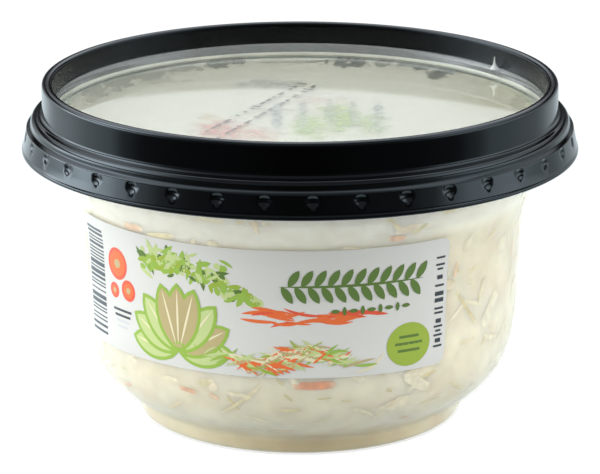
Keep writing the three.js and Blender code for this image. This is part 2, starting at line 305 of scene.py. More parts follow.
def thin_cover(name, roughness):
    """Thin layer, dressing or print, that hides what is under it and thins to nothing at its edges."""
    material, tree = new_material(name)
    cover = add_node(tree, "Attribute", attribute_name="cover")
    tint = add_node(tree, "VertexColor", layer_name="tint")
    return finished(material, add_node(tree, "BsdfPrincipled", {
        "Base Color": tint, "Roughness": roughness, "Alpha": cover.outputs["Fac"],
    }))


def black_polypropylene(name, settings, roughness, gloss):
    """Moulded black polypropylene: deep black, glossy where the tool is polished, duller elsewhere."""
    material, tree = new_material(name)
    return finished(material, add_node(tree, "BsdfPrincipled", {
        "Base Color": rgba(settings.black), "Roughness": roughness, "IOR": 1.49, "Specular IOR Level": gloss,
        "Specular Tint": rgba(settings.sheen),
    }))


def clear_sheet(name, tone, haze, roughness, mirror_share):
    """Thin clear sheet: see-through with a trace of haze, the gloss of both faces on the outer one."""
    material, tree = new_material(name)
    fresnel = add_node(tree, "Fresnel", {"IOR": 1.45})
    side = add_node(tree, "NewGeometry")
    mirror = add_node(tree, "MapRange", {
        "Value": side.outputs["Backfacing"], "To Min": mirror_share, "To Max": 0.0,
    })
    share = add_node(tree, "Math", {0: fresnel, 1: mirror}, operation="MULTIPLY")
    clear = add_node(tree, "BsdfTransparent", {"Color": rgba(linear(tone))})
    milk = add_node(tree, "BsdfDiffuse", {"Color": rgba(linear("#e4e8e6"))})
    body = add_node(tree, "MixShader", {0: haze, 1: clear, 2: milk})
    gloss = add_node(tree, "BsdfGlossy", {"Color": WHITE, "Roughness": roughness})
    return finished(material, add_node(tree, "MixShader", {0: share, 1: body, 2: gloss}))


def pressed_edge():
    """Edge of the window, pressed on the film: a painted glow makes its rough moulded face creamy white."""
    material, tree = new_material("edge of the clear moulding")
    place = add_node(tree, "TexCoord")
    smears = add_node(tree, "TexNoise", {
        "Vector": place.outputs["Object"], "Scale": 120.0, "Detail": 2.0,
    })
    tone = add_node(tree, "Mix", {
        0: smears, 6: rgba(linear("#989a8e")), 7: rgba(linear("#cccaba")),
    }, data_type="RGBA")
    return finished(material, add_node(tree, "BsdfPrincipled", {
        "Base Color": tone.outputs[2], "Roughness": 0.5, "IOR": 1.49, "Specular IOR Level": 0.2,
    }))


def coated_paper(settings):
    """Coated white label paper: cool white with a low sheen."""
    material, tree = new_material("coated label paper")
    return finished(material, add_node(tree, "BsdfPrincipled", {
        "Base Color": rgba(settings.paper), "Roughness": 0.38, "IOR": 1.5, "Specular IOR Level": 0.5,
    }))


def ink(name, code, alpha=1.0):
    """Printing ink: a flat field of colour with the sheen of what it is printed on."""
    material, tree = new_material(name)
    return finished(material, add_node(tree, "BsdfPrincipled", {
        "Base Color": rgba(linear(code)), "Roughness": 0.38, "IOR": 1.5, "Alpha": alpha,
    }))


# ---- settings ----


class TubSettings(bpy.types.PropertyGroup):
    wall: FloatProperty(
        name="Wall", description="Thickness of the tub's wall", default=0.8 * MM, unit="LENGTH", precision=4)
    steps: IntProperty(name="Steps", description="Steps round the tub", default=192, min=32)
    veil: FloatProperty(
        name="Veil", description="How much the milky plastic hides", default=0.24, min=0, max=1,
        subtype="FACTOR")
    plastic: FloatVectorProperty(
        name="Plastic", description="Colour of the natural plastic", default=linear("#fbfaf0"),
        subtype="COLOR")


class SlawSettings(bpy.types.PropertyGroup):
    fill: FloatProperty(
        name="Fill", description="Height of the heap's top", default=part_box("coleslaw")[1].z - 2 * MM,
        unit="LENGTH", precision=4)
    seed: IntProperty(name="Seed", description="Start of the random draws", default=11)
    wall_shreds: IntProperty(
        name="Wall shreds", description="Cabbage shreds against the tub's wall", default=330)
    wall_carrots: IntProperty(
        name="Wall carrots", description="Carrot shreds against the tub's wall", default=34)
    top_shreds: IntProperty(name="Top shreds", description="Cabbage shreds on the heap", default=130)
    top_carrots: IntProperty(name="Top carrots", description="Carrot shreds on the heap", default=26)
    cream: FloatVectorProperty(
        name="Cream", description="Colour of the dressing", default=linear("#e6e0c5"), subtype="COLOR")
    cabbage: FloatVectorProperty(
        name="Cabbage", description="Colour of the cabbage", default=linear("#e2d6a6"), subtype="COLOR")
    carrot: FloatVectorProperty(
        name="Carrot", description="Colour of the carrot", default=linear("#ec9024"), subtype="COLOR")


class LidSettings(bpy.types.PropertyGroup):
    steps: IntProperty(
        name="Steps", description="Steps round the lid, as many for each dimple", default=28 * SNAP_COUNT,
        min=10 * SNAP_COUNT)
    black: FloatVectorProperty(
        name="Black", description="Colour of the lid", default=linear("#030303"), subtype="COLOR")
    sheen: FloatVectorProperty(
        name="Sheen", description="Tint of the lid's gloss", default=(0.86, 1.0, 1.07), subtype="COLOR",
        max=1.2)
    dome: FloatProperty(
        name="Dome", description="Rise of the window's middle", default=0.14 * MM, unit="LENGTH",
        precision=5)


class LabelSettings(bpy.types.PropertyGroup):
    start: FloatProperty(
        name="Start", description="Left edge, round from the front", default=math.radians(-69),
        unit="ROTATION")
    end: FloatProperty(
        name="End", description="Right edge, round from the front", default=math.radians(39.5),
        unit="ROTATION")
    bottom: FloatProperty(
        name="Bottom", description="Height of the lower edge", default=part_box("label")[0].z, unit="LENGTH")
    top: FloatProperty(
        name="Top", description="Height of the upper edge", default=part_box("label")[1].z, unit="LENGTH")
    paper: FloatVectorProperty(
        name="Paper", description="Colour of the label", default=linear("#cfd0cc"), subtype="COLOR")


class StageSettings(bpy.types.PropertyGroup):
    lens: FloatProperty(
        name="Lens", description="Focal length of the camera", default=223.83, unit="CAMERA")
    fill: FloatProperty(
        name="Fill", description="Strength of the room's soft light", default=0.12, min=0)
    bounce: FloatProperty(
        name="Bounce", description="Strength of the floor's bounced light", default=0.2, min=0)


# ---- tub ----


class COLESLAW_OT_tub(bpy.types.Operator):
    """Tub: foot, bowl, flared top with a stacking ridge, and rim flange"""

    bl_idname = "coleslaw.tub"
    bl_label = "Tub"

    def execute(self, context):
        settings = context.scene.coleslaw_tub
        outer = tub_side()
        flange = rounded([
            WALL_TOP, (52.3, FLANGE_BOTTOM, 0.2), (FLANGE_OUTER, FLANGE_BOTTOM, 0.2),
            (FLANGE_OUTER, FLANGE_TOP, 0.2), (MOUTH_RADIUS, FLANGE_TOP, 0.2), (51.1, WALL_TOP[1]),
        ])
        inner = inset(outer, settings.wall / MM)[::-1]
        tub = turned("tub_shell", outer + flange[1:-1] + inner, settings.steps)
        settle(tub, "tub_plastic", "tub", material=natural_polypropylene(settings))
        return {"FINISHED"}


# ---- coleslaw ----

WALL_CONTACT = 0.45   # how far inside the tub's outer face the slaw's skin lies: it reaches into the wall
SMEAR_TOP = 60.0      # how high the dressing is smeared up the wall
SHRED_SKIN = 0.37     # how far inside the tub's outer face a shred's middle lies
# Whiter colour that the top of the dressing is painted towards, as painted light.
TOP_PAINTED_LIGHT = np.array((0.98, 0.96, 0.8))


class WallPath:
    """The tub's side as a path, to place things by azimuth and by distance along the side."""

    def __init__(self):
        path = np.array(tub_side())
        length = np.r_[0, np.cumsum(np.linalg.norm(np.diff(path, axis=0), axis=1))]
        self.u = np.arange(0, length[-1], 0.1)
        self.r = np.interp(self.u, length, path[:, 0])
        self.z = np.interp(self.u, length, path[:, 1])
        self.past_base = self.u > BASE_FLAT + 0.4
        slope_r = np.gradient(self.r, self.u)
        slope_z = np.gradient(self.z, self.u)
        size = np.hypot(slope_r, slope_z)
        self.nr, self.nz = slope_z / size, -slope_r / size

    def at_height(self, z):
        """Distance along the side of a height above the foot."""
        return float(np.interp(z, self.z[self.past_base], self.u[self.past_base]))

    def radius(self, z):
        return np.interp(z, self.z[self.past_base], self.r[self.past_base])

    def place(self, azimuth, u, depth):
        """Points at an azimuth, a distance along the side, and a depth under the outer face."""
        r = np.interp(u, self.u, self.r) - depth * np.interp(u, self.u, self.nr)
        z = np.interp(u, self.u, self.z) - depth * np.interp(u, self.u, self.nz)
        return around(r, azimuth, z)


WALL = WallPath()


def heap_top(x, y, fill):
    """Height in mm of the heap's top: a low dome with waves about a millimetre high."""
    wave = np.sin(x * 0.16 + 1) * np.cos(y * 0.13) + 0.6 * np.sin(x * 0.31 - y * 0.27)
    return fill + 1.1 * wave + 1.5 * (1 - np.hypot(x, y) / MOUTH_RADIUS)


def soft_noise(places, scale, seed):
    """Smooth noise, about -1 to 1, whose patches are about `scale` mm wide."""
    shift = Vector((seed * 17.3, seed * 5.1, seed * 9.7))
    return np.array([noise.noise(Vector(p) / scale + shift) for p in places])


def foot_shade(places):
    """Painted shade: the foot is painted darker and yellower than the dressing, most at the front."""
    shade_middle, shade_width = 4, 40   # mm to the right of the front, and degrees round
    low = 1 - smooth_step(places[:, 2], 3.4, 6.4)
    azimuth = np.degrees(np.arctan2(places[:, 0] - shade_middle, -places[:, 1]))
    # Painted shade, strongest at the front of the foot.
    shade_amount = low * (0.3 + 0.7 * np.exp(-(azimuth / shade_width) ** 2))
    return 1 - shade_amount[:, None] * [0.43, 0.56, 0.85]


def dressing_tint(places, cream):
    """Colour of the dressing: cream with beige and blush patches, and painted light whitening the top."""
    cream, beige, blush = np.array(cream), np.array(linear("#ccbc90")), np.array(linear("#dfbba0"))
    patches = ((7, 1), (2.6, 2), (4.5, 4))   # size in mm, and seed
    warm, pale, pink = (soft_noise(places, *patch)[:, None] for patch in patches)
    tint = cream + (beige - cream) * 0.5 * np.clip(warm + 0.6 * pale, 0, 1)
    tint += (blush - cream) * 0.45 * np.clip(pink - 0.1, 0, 1)
    # Painted light: high on the wall the dressing is painted whiter and brighter.
    thick = smooth_step(places[:, 2], 48.5, 51)[:, None]
    return (tint + (TOP_PAINTED_LIGHT - tint) * 0.8 * thick) * (1 + 0.06 * pale)


def slaw_core(settings):
    """Body of the slaw: dressing that fills the tub to its wall, smeared up the wall above the heap."""
    row, rings, steps = 0.8, 30, 300   # mm between rows up the wall, rings on the top, steps round
    fill = settings.fill / MM - 1
    side = [(r, z) for r, z in inset(tub_side(), WALL_CONTACT) if z < SMEAR_TOP - 1]
    dense = []
    for (r0, z0), (r1, z1) in zip(side, side[1:]):
        count = max(1, round(math.hypot(r1 - r0, z1 - z0) / row))
        dense += [(r0 + (r1 - r0) * k / count, z0 + (z1 - z0) * k / count) for k in range(count)]
    edge = float(WALL.radius(SMEAR_TOP)) - WALL_CONTACT
    start = edge - 4
    top = [(edge, SMEAR_TOP), (edge - 0.5, SMEAR_TOP + 0.2), (edge - 0.9, SMEAR_TOP - 0.8),
           (edge - 1.4, fill + 2.5), (edge - 2.4, fill + 0.6)]
    top += [(start * (1 - k / rings), fill) for k in range(rings + 1)]
    core = turned("slaw_core", dense + top, steps)
    places = points_of(core)
    radius = np.hypot(places[:, 0], places[:, 1])
    on_top = (places[:, 2] > fill - 0.01) & (radius < start + 0.1)
    blend = smooth_step(start + 1 - radius, 0, 4)
    lift = heap_top(places[:, 0], places[:, 1], fill) - fill
    lumps = soft_noise(places[on_top], 3.2, 3)
    places[on_top, 2] += (lift * blend)[on_top] + 0.7 * lumps * blend[on_top]
    # The smear up the wall ends in a ragged edge.
    high = places[:, 2] > SMEAR_TOP - 6
    ragged = soft_noise(places[high] * [1, 1, 0], 9, 5)
    share = smooth_step(places[high, 2], SMEAR_TOP - 6, SMEAR_TOP) * (radius[high] > start)
    places[high, 2] += 2.2 * (ragged - 0.5) * share
    move_points(core, places)
    # Painted shade in the foot and painted light at the top are part of the dressing's colour.
    paint(core, "tint", dressing_tint(places, settings.cream[:]) * foot_shade(places))
    return core


def shred_template():
    """One flat shred: length 0 to 1 along X, half width 1 along Y, half thickness 1 along Z, in mm."""
    sides, rows = 12, 12
    bpy.ops.object.select_all(action="DESELECT")
    bpy.ops.mesh.primitive_circle_add(vertices=sides, radius=MM)
    shred = bpy.context.active_object
    bpy.ops.object.mode_set(mode="EDIT")
    bpy.ops.transform.rotate(value=math.pi / 2, orient_axis="Y", center_override=(0, 0, 0))
    for _ in range(rows):
        bpy.ops.mesh.extrude_region()
        bpy.ops.transform.translate(value=(MM / rows, 0, 0))
    bpy.ops.mesh.select_all(action="SELECT")
    bpy.ops.mesh.fill_holes(sides=0)
    bpy.ops.mesh.select_all(action="SELECT")
    bpy.ops.mesh.normals_make_consistent(inside=False)
    bpy.ops.object.mode_set(mode="OBJECT")
    bpy.ops.object.shade_smooth()
    return shred


def shred_shape(template):
    """Place along (0 to 1), across, tapered across and thickness (-1 to 1) of the template's vertices."""
    along, across, thick = points_of(template).T
    along = (along - along.min()) / (along.max() - along.min())
    flat_topped = np.sign(thick) * np.abs(thick) ** 0.35
    taper = 0.45 + 0.55 * np.sqrt(np.clip(np.sin(math.pi * np.clip(along, 0.02, 0.98)), 0, 1))
    return along, across, across * taper, flat_topped


def shred_path(along, length, heading, bend):
    """Places along a bent path, with the direction of its left side."""
    parts = 40
    angle = heading + bend * (along - 0.5)
    fine = np.linspace(0, 1, parts + 1)
    fine_angle = heading + bend * (fine - 0.5)
    px = np.r_[0, np.cumsum(np.cos(fine_angle[:-1]) / parts)] * length
    py = np.r_[0, np.cumsum(np.sin(fine_angle[:-1]) / parts)] * length
    px -= px[-1] / 2
    py -= py[-1] / 2
    return np.interp(along, fine, px), np.interp(along, fine, py), -np.sin(angle), np.cos(angle)


def shred_tint(colour, cream, across, along, rim):
    """Full colour in the middle, fading into the dressing at the edges, with painted shadow on one side."""
    hold = (1 - smooth_step(np.abs(across), 0.35, 0.98)) * smooth_step(along, 0, 0.3)
    hold *= smooth_step(1 - along, 0, 0.3)
    # Painted shadow: a darker, yellower line along one side.
    edge = rim * smooth_step(across, 0.0, 0.4) * (1 - smooth_step(across, 0.55, 0.8))
    tint = cream * (1 - hold[:, None]) + np.array(colour) * hold[:, None]
    return tint * (1 - edge[:, None] * np.array([0.22, 0.28, 0.38]))


# Shreds that lie where they show best: azimuth, height, length and width in mm, heading in degrees, bend,
# and colour share. A share above 1 stands for a piece of green outer leaf.
FRONT_CARROTS = [
    (3.6, 19.8, 11.5, 3.1, 0, 0.2, 1.0), (-31.0, 16.2, 5.6, 1.9, -8, 0.0, 0.7),
    (-23.4, 15.6, 3.4, 1.7, -30, 0, 0.45), (-5.3, 7.3, 7.5, 1.2, 2, 0.1, 0.55),
    (33.0, 8.4, 6.0, 2.4, -35, 0.2, 0.3), (-45.0, 50.0, 7.5, 2.6, 4, 0.1, 0.42),
    (23.8, 50.5, 5.4, 2.2, -3, 0.1, 0.5), (72.0, 39.5, 5.0, 2.2, 70, 0.1, 0.28),
    (-57.0, 12.5, 6.0, 1.8, 20, 0.2, 0.5),
]
FRONT_CABBAGE = [
    (-25.2, 18.8, 4.4, 2.9, 14, 0.3, 1.15), (-5.1, 20.4, 3.2, 1.1, -42, 0.2, 1.25),
    (-3.0, 16.7, 3.8, 1.2, -46, 0.3, 1.25), (-18.0, 14.6, 5.4, 1.2, -58, 0.4, 1.15),
    (-2.4, 13.5, 6.2, 1.6, 0, 0.1, 1.0), (-16.3, 15.4, 15.5, 1.5, 42, 0.3, 0.9),
    (6.3, 16.5, 4.6, 1.0, 4, 0.3, 1.25), (12.4, 15.7, 3.4, 0.9, -6, 0.4, 1.25),
    (24.0, 17.1, 2.2, 1.2, -20, 0, 1.1), (35.4, 19.8, 5.2, 2.2, 18, 0.5, 1.15),
    (48.5, 14.4, 9.0, 1.6, -32, 0.5, 0.9), (48.0, 32.2, 14.5, 1.3, -50, 0.25, 1.1),
    (43.5, 40.5, 2.6, 1.1, 5, 0, 1.1), (49.5, 39.9, 3.4, 1.6, 18, 0.2, 0.95),
    (60.0, 25.2, 6.2, 1.1, -46, 0.2, 1.0), (55.8, 23.0, 3.0, 0.9, 66, 0.2, 1.25),
    (48.9, 24.4, 6.6, 0.7, 3, 0.1, 0.8), (-36.0, 49.5, 9.0, 2.2, 8, 0.1, 0.8),
    (5.0, 10.6, 9.0, 1.5, 24, 0.4, 0.7), (17.0, 12.0, 8.0, 1.7, -30, -0.4, 0.75),
    (-38.0, 11.5, 9.0, 1.6, 35, 0.5, 0.8), (-12.0, 10.4, 7.0, 1.3, -20, -0.3, 0.8),
    (24.0, 12.6, 9.0, 1.4, 48, 0.3, 0.7), (39.0, 12.0, 7.0, 1.2, 12, -0.4, 0.8),
]
FRONT_REGION = (-46, 64, 8, 23)   # azimuths and heights in which only the listed shreds lie
# Lowest and highest length in mm, width in mm, and colour share.
CABBAGE_RANGES = ((2.5, 11), (0.8, 2.6), (0.1, 0.75))
CARROT_RANGES = ((3, 8), (1.2, 2.8), (0.08, 0.35))
EDGE_SHARE = 0.62     # half width of a shred for each mm of the width that shows, as its edges fade away
DEEP_PART = 0.4       # part of the shreds that lie deeper in the dressing, so they look broader and fainter
DEEP_WIDTH, DEEP_COLOUR = 2.0, 0.4
WALL_HEIGHTS, HEADINGS, BENDS = (6.5, 57), (-75, 75), (-0.7, 0.7)   # mm, degrees, radians
THIN_ABOVE = 48       # height in mm above which shreds are few
LOWEST_SHRED = 35.6   # nearest to the base that a shred comes, along the side in mm
SINK, SCATTER = 0.14, 0.04   # how far in mm edges and ends sink under the skin, and shreds differ in depth
SHRED_THICKNESS = 1.0
OUTER_LEAF = linear("#b9ae6e")


def wall_shreds(name, template, listed, count, ranges, colours, settings, rng):
    """Shreds pressed against the tub's wall, their faces just in the wall and their backs in the dressing."""
    cream = settings.cream[:]
    along, across, half, thick = shred_shape(template)
    lengths, widths, shares = ranges
    low, high, bottom, top = FRONT_REGION
    places = list(listed)
    while len(places) < len(listed) + count:
        azimuth, z, deep = rng.uniform(-180, 180), rng.uniform(*WALL_HEIGHTS), rng.random() < DEEP_PART
        in_front = low < azimuth < high and bottom < z < top
        if z > THIN_ABOVE and rng.random() < 0.6 or in_front and not deep:
            continue
        places.append((azimuth, z, rng.uniform(*lengths), rng.uniform(*widths) * (DEEP_WIDTH if deep else 1),
                       rng.uniform(*HEADINGS), rng.uniform(*BENDS),
                       rng.uniform(*shares) * (DEEP_COLOUR if deep else 1)))
    pieces = []
    for azimuth, z, length, width, heading, bend, share in places:
        px, py, ax, ay = shred_path(along, length, math.radians(heading), bend)
        s = px + ax * half * width * EDGE_SHARE
        u = WALL.at_height(z) + py + ay * half * width * EDGE_SHARE
        u = np.clip(u, LOWEST_SHRED, WALL.u[-1] - 5)
        at = azimuth + np.degrees(s / np.interp(u, WALL.u, WALL.r))
        piece = twin_of(template, name)
        sunk = np.maximum(across ** 2, np.abs(2 * along - 1) ** 4)
        skin = SHRED_SKIN + SINK * sunk + SCATTER * rng.random()
        move_points(piece, WALL.place(at, u, skin + SHRED_THICKNESS / 2 * (1 - thick)))
        colour = rng.choice(colours)
        colour = mix(cream, colour, share) if share <= 1 else mix(colour, OUTER_LEAF, 0.55)
        there = points_of(piece)
        # The shred's painted shadow along one side is drawn at one of four strengths.
        tint = shred_tint(colour, dressing_tint(there, cream), across, along, rng.choice([0, 0.35, 0.7, 1.0]))
        # Painted shade in the foot is part of the shred's colour.
        paint(piece, "tint", tint * foot_shade(there))
        pieces.append(piece)
    return joined(name, pieces)


HEAP_REACH = 46.5     # how far from the middle a shred on the heap may reach
HEAP_LENGTHS, HEAP_WIDTHS, HEAP_RISES, HEAP_BENDS = (10, 32), (1.2, 3.0), (0.3, 2.6), (-1.4, 1.4)


def top_shreds(name, template, count, colours, settings, rng):
    """Shreds that lie loosely on the heap."""
    cream = np.array(settings.cream[:])
    fill = settings.fill / MM - 1
    along, across, half, thick = shred_shape(template)
    pieces = []
    while len(pieces) < count:
        reach, spot = 45 * math.sqrt(rng.random()), rng.uniform(0, 2 * math.pi)
        length, heading = rng.uniform(*HEAP_LENGTHS), rng.uniform(0, 2 * math.pi)
        bend = rng.uniform(*HEAP_BENDS)
        px, py, ax, ay = shred_path(along, length, heading, bend)
        width = rng.uniform(*HEAP_WIDTHS)
        x = reach * math.cos(spot) + px + ax * half * width / 2
        y = reach * math.sin(spot) + py + ay * half * width / 2
        if np.hypot(x, y).max() > HEAP_REACH:
            continue
        rise = rng.uniform(*HEAP_RISES) * np.sin(math.pi * along) - 0.2
        z = heap_top(x, y, fill) + rise + 0.45 * thick + 0.4
        piece = twin_of(template, name)
        move_points(piece, np.c_[x, y, z])
        colour = mix(cream, rng.choice(colours), rng.uniform(0.3, 0.9))
        paint(piece, "tint", shred_tint(colour, cream, across, along, 0))
        pieces.append(piece)
    return joined(name, pieces)


class COLESLAW_OT_slaw(bpy.types.Operator):
    """Coleslaw: the body of dressing and the cabbage and carrot shreds at the wall and on top"""

    bl_idname = "coleslaw.slaw"
    bl_label = "Coleslaw"

    def execute(self, context):
        settings = context.scene.coleslaw_slaw
        rng = random.Random(settings.seed)
        body = wet_slaw("cabbage and carrot in dressing", roughness=0.32, grain=4, depth=0.1, spread=8 * MM)
        shreds = wet_slaw("dressed shreds", roughness=0.3, grain=1.6, depth=0.24)
        cabbages = [settings.cabbage[:], linear("#ece3bd"), linear("#d5cc93"), linear("#e6d3a4")]
        carrots = [settings.carrot[:], linear("#e8a050"), linear("#de7a26")]
        settle(slaw_core(settings), "coleslaw", "coleslaw", material=body)
        template = shred_template()
        for name, listed, count, ranges, colours in (
            ("cabbage_at_wall", FRONT_CABBAGE, settings.wall_shreds, CABBAGE_RANGES, cabbages),
            ("carrot_at_wall", FRONT_CARROTS, settings.wall_carrots, CARROT_RANGES, carrots),
        ):
            piece = wall_shreds(name, template, listed, count, ranges, colours, settings, rng)
            settle(piece, "coleslaw", material=shreds)
        for name, count, colours in (
            ("cabbage_on_top", settings.top_shreds, cabbages),
            ("carrot_on_top", settings.top_carrots, carrots),
        ):
            settle(top_shreds(name, template, count, colours, settings, rng), "coleslaw", material=shreds)
        bpy.data.objects.remove(template)
        return {"FINISHED"}


# ---- printed shapes ----


def flat_grid(name, columns, rows):
    """Flat grid from -1 to 1, the start of a printed shape."""
    bpy.ops.object.select_all(action="DESELECT")
    bpy.ops.mesh.primitive_grid_add(x_subdivisions=columns, y_subdivisions=rows, size=2 * MM)
    grid = bpy.context.active_object
    grid.name = name
    bpy.ops.object.shade_smooth()
    return grid


def block(u, v, width, height):
    return u * width / 2, v * height / 2


def disc(u, v, width, height):
    return u * np.sqrt(1 - v * v / 2) * width / 2, v * np.sqrt(1 - u * u / 2) * height / 2


def leaf(u, v, length, width):
    """Small curved leaf."""
    return u * length / 2, v * width / 2 * np.clip(1 - u * u, 0, 1) ** 0.7 + 0.06 * length * u * u


def leaf_blade(u, v, length, width):
    """Broad leaf, pointed at both ends."""
    return u * length / 2, v * width / 2 * np.clip(1 - u * u, 0, 1) ** 0.8


def stroke(u, v, length, width, bend):
    taper = np.clip(1 - np.abs(u) ** 3, 0.15, 1)
    return u * length / 2, v * width / 2 * taper + bend * length * (u * u - 0.4)


def printed(name, form, size, cells, at, turn, material, places, proud):
    """One printed shape: a grid given a form, turned, and placed on the label or on the film."""
    grid = flat_grid(name, *cells)
    u, v, _ = points_of(grid).T
    x, y = form(u, v, *size)
    c, s = math.cos(math.radians(turn)), math.sin(math.radians(turn))
    move_points(grid, places(at[0] + x * c - y * s, at[1] + x * s + y * c, proud))
    grid.data.materials.append(material)
    return grid


# ---- film ----

# Gaps in the dressing under the film, where the dark headspace shows: x, y, half length along x, half
# length along y in mm, and how clear the gap is.
FILM_GAPS = [
    (6.6, 48.4, 3.2, 2.2, 1.0), (9.6, 47.6, 1.6, 4.4, 0.9), (13.0, 47.4, 3.0, 4.4, 1.0),
    (18.6, 46.6, 1.8, 3.0, 0.75), (24.5, 46.2, 2.6, 2.6, 1.0), (28.0, 44.4, 3.4, 3.2, 1.0),
    (31.6, 40.6, 3.0, 4.6, 1.0), (30.2, 35.4, 2.0, 3.6, 0.95), (35.4, 39.4, 2.6, 1.1, 0.8),
    (-18.6, 46.4, 3.0, 4.0, 0.85), (-14.4, 48.6, 2.2, 2.4, 0.85), (-22.4, 41.0, 1.2, 1.2, 0.5),
    (-26.5, 43.5, 4.5, 4.5, 0.44), (-34.0, 38.5, 5.0, 7.0, 0.5), (-40.5, 31.5, 3.8, 9.0, 0.58),
    (-45.2, 21.5, 2.6, 10.0, 0.48), (-4.0, 48.0, 7.0, 1.0, 0.32), (-31.0, 30.5, 6.0, 2.4, 0.2),
    (47.0, 9.0, 1.6, 8.0, 0.2),
]
# Faint print on the film: x, y, half length along x, half length along y in mm, colour, and strength.
FILM_PRINT = [
    (-16.5, -14.0, 6.4, 9.0, "#e39a90", 0.62), (-9.0, -17.0, 5.4, 6.0, "#e6aba0", 0.5),
    (-19.5, -3.0, 2.4, 4.0, "#e2c184", 0.4), (2.0, -10.0, 4.8, 12.0, "#b4cf74", 0.62),
    (8.5, -3.0, 6.2, 14.0, "#bdd47c", 0.68), (15.0, -8.0, 4.2, 12.0, "#b9cd8c", 0.52),
    (-4.7, -2.0, 1.3, 15.0, "#7f8fa2", 0.5), (0.6, 0.0, 1.2, 14.0, "#8593a6", 0.45),
    (6.4, 2.0, 1.3, 15.0, "#8593a6", 0.5), (11.3, 0.0, 1.2, 14.0, "#8593a6", 0.5),
    (16.6, -2.0, 1.3, 14.0, "#8794a2", 0.5), (-6.5, 26.0, 7.5, 5.0, "#98a2b4", 0.3),
    (-5.0, 3.0, 4.6, 1.6, "#8c8c84", 0.35), (5.0, 12.0, 8.0, 4.0, "#e6b2a8", 0.25),
]
FILM_DASHES = [((-26.0, -29.0), (1.5, 29.0)), ((-20.6, -29.0), (3.4, 25.0))]   # rows of short dashes


def film_places(x, y, proud):
    return np.stack([x, y, 0 * x + FILM_TOP + proud], axis=-1)


def film_dressing():
    """Dressing that clings under the film, thickest in the mouth and a thin skin on the flange."""
    radius = MOUTH_RADIUS - 0.3
    top, bottom = FLANGE_TOP - 0.1, FLANGE_TOP - 0.4
    rings = [(r, top) for r in np.r_[0, np.arange(2.0, 34, 2.0), np.arange(34, radius, 0.45), radius]]
    # Beyond the mouth it is squeezed to a skin between the flange and the film.
    squeezed = [(radius + 0.35, FLANGE_TOP + 0.05), (53.0, FLANGE_TOP + 0.06), (53.0, FLANGE_TOP + 0.02),
                (radius + 0.35, FLANGE_TOP + 0.015)]
    smear = turned("dressing_under_film", rings + squeezed + [(radius, bottom), (0, bottom)], 420)
    places = points_of(smear)
    x, y, _ = places.T
    warp = soft_noise(places * [1, 1, 0], 4.2, 7)
    fine = soft_noise(places * [1, 0.35, 0], 1.1, 8)
    clear = np.zeros(len(places))
    for gx, gy, half_x, half_y, depth in FILM_GAPS:
        reach = np.hypot((x - gx) / half_x, (y - gy) / half_y) + 0.45 * warp + 0.5 * fine
        clear = np.maximum(clear, depth * (1 - smooth_step(reach, 0.88, 1.04)))
    paint(smear, "cover", 1 - clear)
    streaks = soft_noise(places * [0.35, 1.3, 0], 3.5, 9)
    brushed = soft_noise(np.c_[x * 0.5 + y, 0.12 * (x - y), 0 * x], 1.6, 10)
    # At the right it is wiped thinner, so the beige slaw shows.
    worn = smooth_step(x, 26, 44) * smooth_step(y, -8, 12) * (0.12 + 0.1 * brushed)
    shade = 1 + 0.06 * streaks + 0.03 * fine
    cream = np.array(linear("#f0eee6"))
    paint(smear, "tint", cream * (shade[:, None] - worn[:, None] * [0.8, 1.0, 1.7]))
    return smear


def film_print():
    """Faint fields of colour printed on the film, worn and uneven."""
    fields = flat_grid("film_print", 110, 150)
    x, y, _ = (points_of(fields) * [23, 31, 1]).T
    move_points(fields, film_places(x - 1, y + 1, 0.02))
    places = points_of(fields)
    warp, fine = soft_noise(places, 3.4, 21), soft_noise(places, 1.3, 22)
    cover, tint = np.zeros(len(places)), np.ones((len(places), 3))
    for px, py, half_x, half_y, code, strength in FILM_PRINT:
        reach = np.hypot((places[:, 0] - px) / half_x, (places[:, 1] - py) / half_y) + 0.5 * warp
        here = strength * (1 - smooth_step(reach, 0.3, 1.2)) * (0.4 + 0.6 * smooth_step(fine, -0.3, 0.35))
        share = (here / np.maximum(here + cover, 1e-6))[:, None]
        tint = tint * (1 - share) + np.array(linear(code)) * share
        cover = np.maximum(cover, here)
    paint(fields, "cover", cover)
    paint(fields, "tint", tint)
    return fields


def film_dashes(material):
    """Two rows of short printed dashes."""
    rng = random.Random(8)
    height, row_length = 0.85, 64
    dashes = []
    for start, end in FILM_DASHES:
        turn = math.degrees(math.atan2(end[1] - start[1], end[0] - start[0]))
        t = 0.02
        while t < 0.98:
            length = rng.choice([1.0, 1.5, 2.2])
            at = (start[0] + (end[0] - start[0]) * t, start[1] + (end[1] - start[1]) * t)
            if rng.random() < 0.8:
                dashes.append(printed("dash", block, (length, height), (1, 1), at,
                                      turn + rng.choice([0, 0, 90]), material, film_places, 0.03))
            t += (length + rng.choice([0.5, 0.9, 2.4])) / row_length
    return joined("film_code_dashes", dashes)


class COLESLAW_OT_film(bpy.types.Operator):
    """Sealing film, the dressing that clings under it, and the faint print on it"""

    bl_idname = "coleslaw.film"
    bl_label = "Sealing film"

    def execute(self, context):
        settle(film_dressing(), "dressing", "film_dressing",
               material=thin_cover("dressing under the film", roughness=0.45))
        settle(film_print(), "clear_film", material=thin_cover("faint film print", roughness=0.3))
        settle(film_dashes(ink("grey code ink", "#4a4a46", alpha=0.8)), "clear_film")
        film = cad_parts["seal_film"]
        film.data.materials.clear()
        film.data.materials.append(clear_sheet(
            "clear sealing film", "#fbfcfb", haze=0.04, roughness=0.22, mirror_share=0.5))
        return {"FINISHED"}


# ---- lid ----


def skirt_radius(z):
    (low, z0), (high, z1) = SKIRT
    return low + (high - low) * (z - z0) / (z1 - z0)


